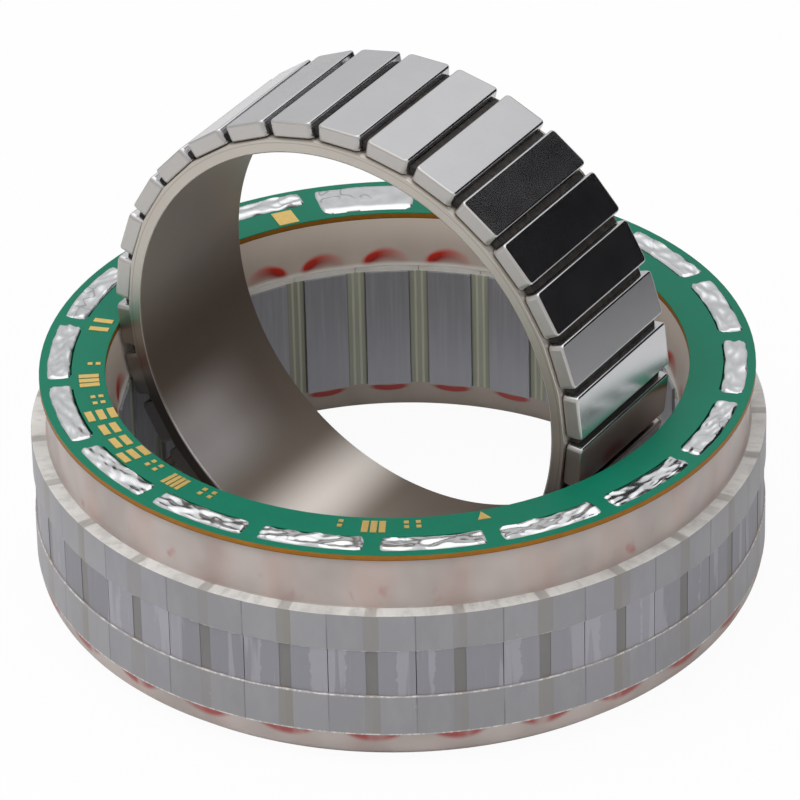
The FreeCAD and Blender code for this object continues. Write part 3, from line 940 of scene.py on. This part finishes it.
class MOTOR_OT_ring(bpy.types.Operator):
    """Turns the rotor ring and grinds its flats"""
    bl_idname = "motor.ring"
    bl_label = "Rotor ring"

    def execute(self, context):
        size = sizes()
        pole = 2 * math.pi / POLES
        outside = size.ring_flat / math.cos(pole / 2)
        rim = size.ring_flat - 0.5 * MM
        corners = [
            (size.ring_inner, -size.ring_width), (outside, -size.ring_width),
            (outside, 0.0), (rim, 0.0), (size.ring_inner, 0.0),
        ]
        bm = spun(corners, POLES * STEPS_PER_POLE)
        round_rings(bm, [(size.ring_inner, 0.0), (size.ring_inner, -size.ring_width)], BORE_ROUND, 3)
        round_rings(bm, [(outside, 0.0), (outside, -size.ring_width)], RIM_ROUND, 2)
        for vert in bm.verts:
            radius = math.hypot(vert.co.x, vert.co.y)
            if radius < rim + 0.1 * MM:
                continue
            angle = math.atan2(vert.co.y, vert.co.x)
            off = (angle + math.pi / 2 + pole / 2) % pole - pole / 2
            scale = size.ring_flat / math.cos(off) / outside
            vert.co.x *= scale
            vert.co.y *= scale
        bmesh.ops.transform(bm, matrix=rotor_place(), verts=bm.verts)
        piece("ground_ring", bm, [ring_ground()], "ring_steel", "rotor_ring", smooth=40,
              axis=(0, 1, 0))
        return {"FINISHED"}


class MOTOR_OT_magnets(bpy.types.Operator):
    """Lays the rounded magnets on the ring's flats"""
    bl_idname = "motor.magnets"
    bl_label = "Magnets"

    def execute(self, context):
        size = sizes()
        nickel = nickel_plating()
        for first, name, node in ((0, "north_poles", "north_magnets"),
                                  (1, "south_poles", "south_magnets")):
            bm = bmesh.new()
            for number in range(first, POLES, 2):
                lean = 0.05 * MM * noise.noise(Vector((number * 5.1, 0.4, 2.2)))
                slip = 0.12 * MM * noise.noise(Vector((number * 3.3, 7.4, 1.2)))
                place = (rotor_place()
                         @ Matrix.Rotation(-math.pi / 2 + number * 2 * math.pi / POLES, 4, "Z")
                         @ Matrix.Translation((size.rotor_radius - size.magnet_thickness / 2, lean,
                                               -size.magnet_start - size.magnet_length / 2 + slip))
                         @ Matrix.Diagonal((size.magnet_thickness, size.magnet_width,
                                            size.magnet_length, 1)))
                bmesh.ops.create_cube(bm, size=1.0, matrix=place)
            short = [edge for edge in bm.edges if edge.calc_length() < size.magnet_thickness + 0.1 * MM]
            rounded(bm, short, size.magnet_corner, 4)
            rims = [edge for edge in bm.edges if edge.calc_face_angle() > math.radians(60)]
            rounded(bm, rims, size.magnet_round, 3)
            piece(name, bm, [nickel], "magnet", node, smooth=60, flat_area=10 * MM ** 2)
        return {"FINISHED"}


class MOTOR_OT_glue(bpy.types.Operator):
    """Dresses the glue between the magnets"""
    bl_idname = "motor.glue"
    bl_label = "Glue"

    def execute(self, context):
        dress("magnet_glue", dark_glue())
        return {"FINISHED"}


def lamp(name, place, aim, power, width):
    light = bpy.data.lights.new(name, "AREA")
    light.energy = power
    light.shape = "SQUARE"
    light.size = width
    made = bpy.data.objects.new(name, light)
    made.location = place
    made.rotation_euler = (Vector(aim) - Vector(place)).to_track_quat("-Z", "Y").to_euler()
    made.visible_glossy = False
    bpy.context.scene.collection.objects.link(made)


def card(name, place, aim, extent, level):
    """A card of the given width and height that faces a point."""
    facing = (Vector(aim) - Vector(place)).to_track_quat("Z", "Y").to_matrix().to_4x4()
    bm = bmesh.new()
    bmesh.ops.create_grid(bm, x_segments=1, y_segments=1, size=0.5,
                          matrix=Matrix.Translation(place) @ facing @ Matrix.Diagonal((*extent, 1, 1)))
    made = placed(name, bm, [card_paint(name, level)])


def from_angles(azimuth, elevation, distance, centre):
    """A point seen from the centre at an angle about +Z and a height angle."""
    turn, rise = math.radians(azimuth), math.radians(elevation)
    return Vector(centre) + distance * Vector((math.cos(turn) * math.cos(rise),
                                               math.sin(turn) * math.cos(rise), math.sin(rise)))


class MOTOR_OT_stage(bpy.types.Operator):
    """Sets the floor, the dark card, the lamps, the world and the camera"""
    bl_idname = "motor.stage"
    bl_label = "Stage"

    def execute(self, context):
        scene = context.scene
        bm = bmesh.new()
        bmesh.ops.create_grid(bm, x_segments=1, y_segments=1, size=3.0,
                              matrix=Matrix.Translation((0, 0, -0.02 * MM)))
        floor = placed("floor", bm, [floor_white()])

        centre = (0, 0, 0.06)
        card("dark_card", from_angles(52, 23, 2.4, centre), centre, (2.1, 2.1), (0.016, 0.015, 0.017))

        lamp("key", from_angles(-120, 50, 1.1, centre), centre, 4.0, 0.7)
        lamp("side", from_angles(-20, 35, 1.2, centre), centre, 2.0, 0.6)
        lamp("back", from_angles(120, 62, 1.2, centre), centre, 2.0, 0.8)

        world = bpy.data.worlds.new("studio")
        scene.world = world
        world.use_nodes = True
        make = Nodes(world.node_tree)
        seen = make.node("ShaderNodeLightPath")
        heading = make.axes(make.node("ShaderNodeTexCoord").outputs["Generated"])
        ramp = make.node("ShaderNodeValToRGB", heading[2])
        ramp.color_ramp.elements[0].color = (0.56, 0.56, 0.565, 1)
        ramp.color_ramp.elements[1].color = (1.5, 1.5, 1.5, 1)
        for place, level in ((0.3, 0.62), (0.68, 0.76), (0.86, 1.3)):
            ramp.color_ramp.elements.new(place).color = (level, level, level, 1)
        mirrored = make.mix(seen.outputs["Is Glossy Ray"], (0.62, 0.62, 0.62), ramp.outputs["Color"])
        shown = make.mix(seen.outputs["Is Camera Ray"], mirrored, (1, 1, 1))
        glow = make.node("ShaderNodeBackground", shown)
        make.node("ShaderNodeOutputWorld", glow.outputs[0])

        camera = bpy.data.cameras.new("camera")
        camera.lens = 290.4
        camera.sensor_width = 36.0
        camera.shift_x = 0.0035
        camera.shift_y = -0.0508
        camera.clip_end = 20.0
        eye = bpy.data.objects.new("camera", camera)
        target = Vector((0, 0, STATOR_TOP))
        place = from_angles(-57, 31.41, 1.0048, target)
        look = (target - place).to_track_quat("-Z", "Y").to_matrix().to_4x4()
        eye.matrix_world = Matrix.Translation(place) @ look @ Matrix.Rotation(math.radians(-1.31), 4, "Z")
        scene.collection.objects.link(eye)
        scene.camera = eye
        scene.view_settings.view_transform = "Standard"
        return {"FINISHED"}


STEPS = (MOTOR_OT_core, MOTOR_OT_windings, MOTOR_OT_potting, MOTOR_OT_board, MOTOR_OT_solder,
         MOTOR_OT_pads, MOTOR_OT_ring, MOTOR_OT_magnets, MOTOR_OT_glue, MOTOR_OT_stage)


class MOTOR_PT_panel(bpy.types.Panel):
    """Lists the motor's sizes, colours and steps"""
    bl_idname = "MOTOR_PT_panel"
    bl_label = "Frameless motor"
    bl_space_type = "VIEW_3D"
    bl_region_type = "UI"
    bl_category = "Motor"

    def draw(self, context):
        for step in STEPS:
            self.layout.operator(step.bl_idname)
        for group in (context.scene.motor_sizes, context.scene.motor_colours):
            for name in group.bl_rna.properties.keys():
                if name not in ("rna_type", "name"):
                    self.layout.prop(group, name)


CLASSES = (MotorSizes, MotorColours) + STEPS + (MOTOR_PT_panel,)


def register():
    for item in CLASSES:
        bpy.utils.register_class(item)
    bpy.types.Scene.motor_sizes = bpy.props.PointerProperty(type=MotorSizes)
    bpy.types.Scene.motor_colours = bpy.props.PointerProperty(type=MotorColours)


def unregister():
    del bpy.types.Scene.motor_colours
    del bpy.types.Scene.motor_sizes
    for item in reversed(CLASSES):
        bpy.utils.unregister_class(item)


def corners(box):
    return [list(corner) for corner in box]


def main():
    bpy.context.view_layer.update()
    register()
    for step in STEPS:
        group, name = step.bl_idname.split(".")
        getattr(getattr(bpy.ops, group), name)()


if __name__ == "__main__":
    main()
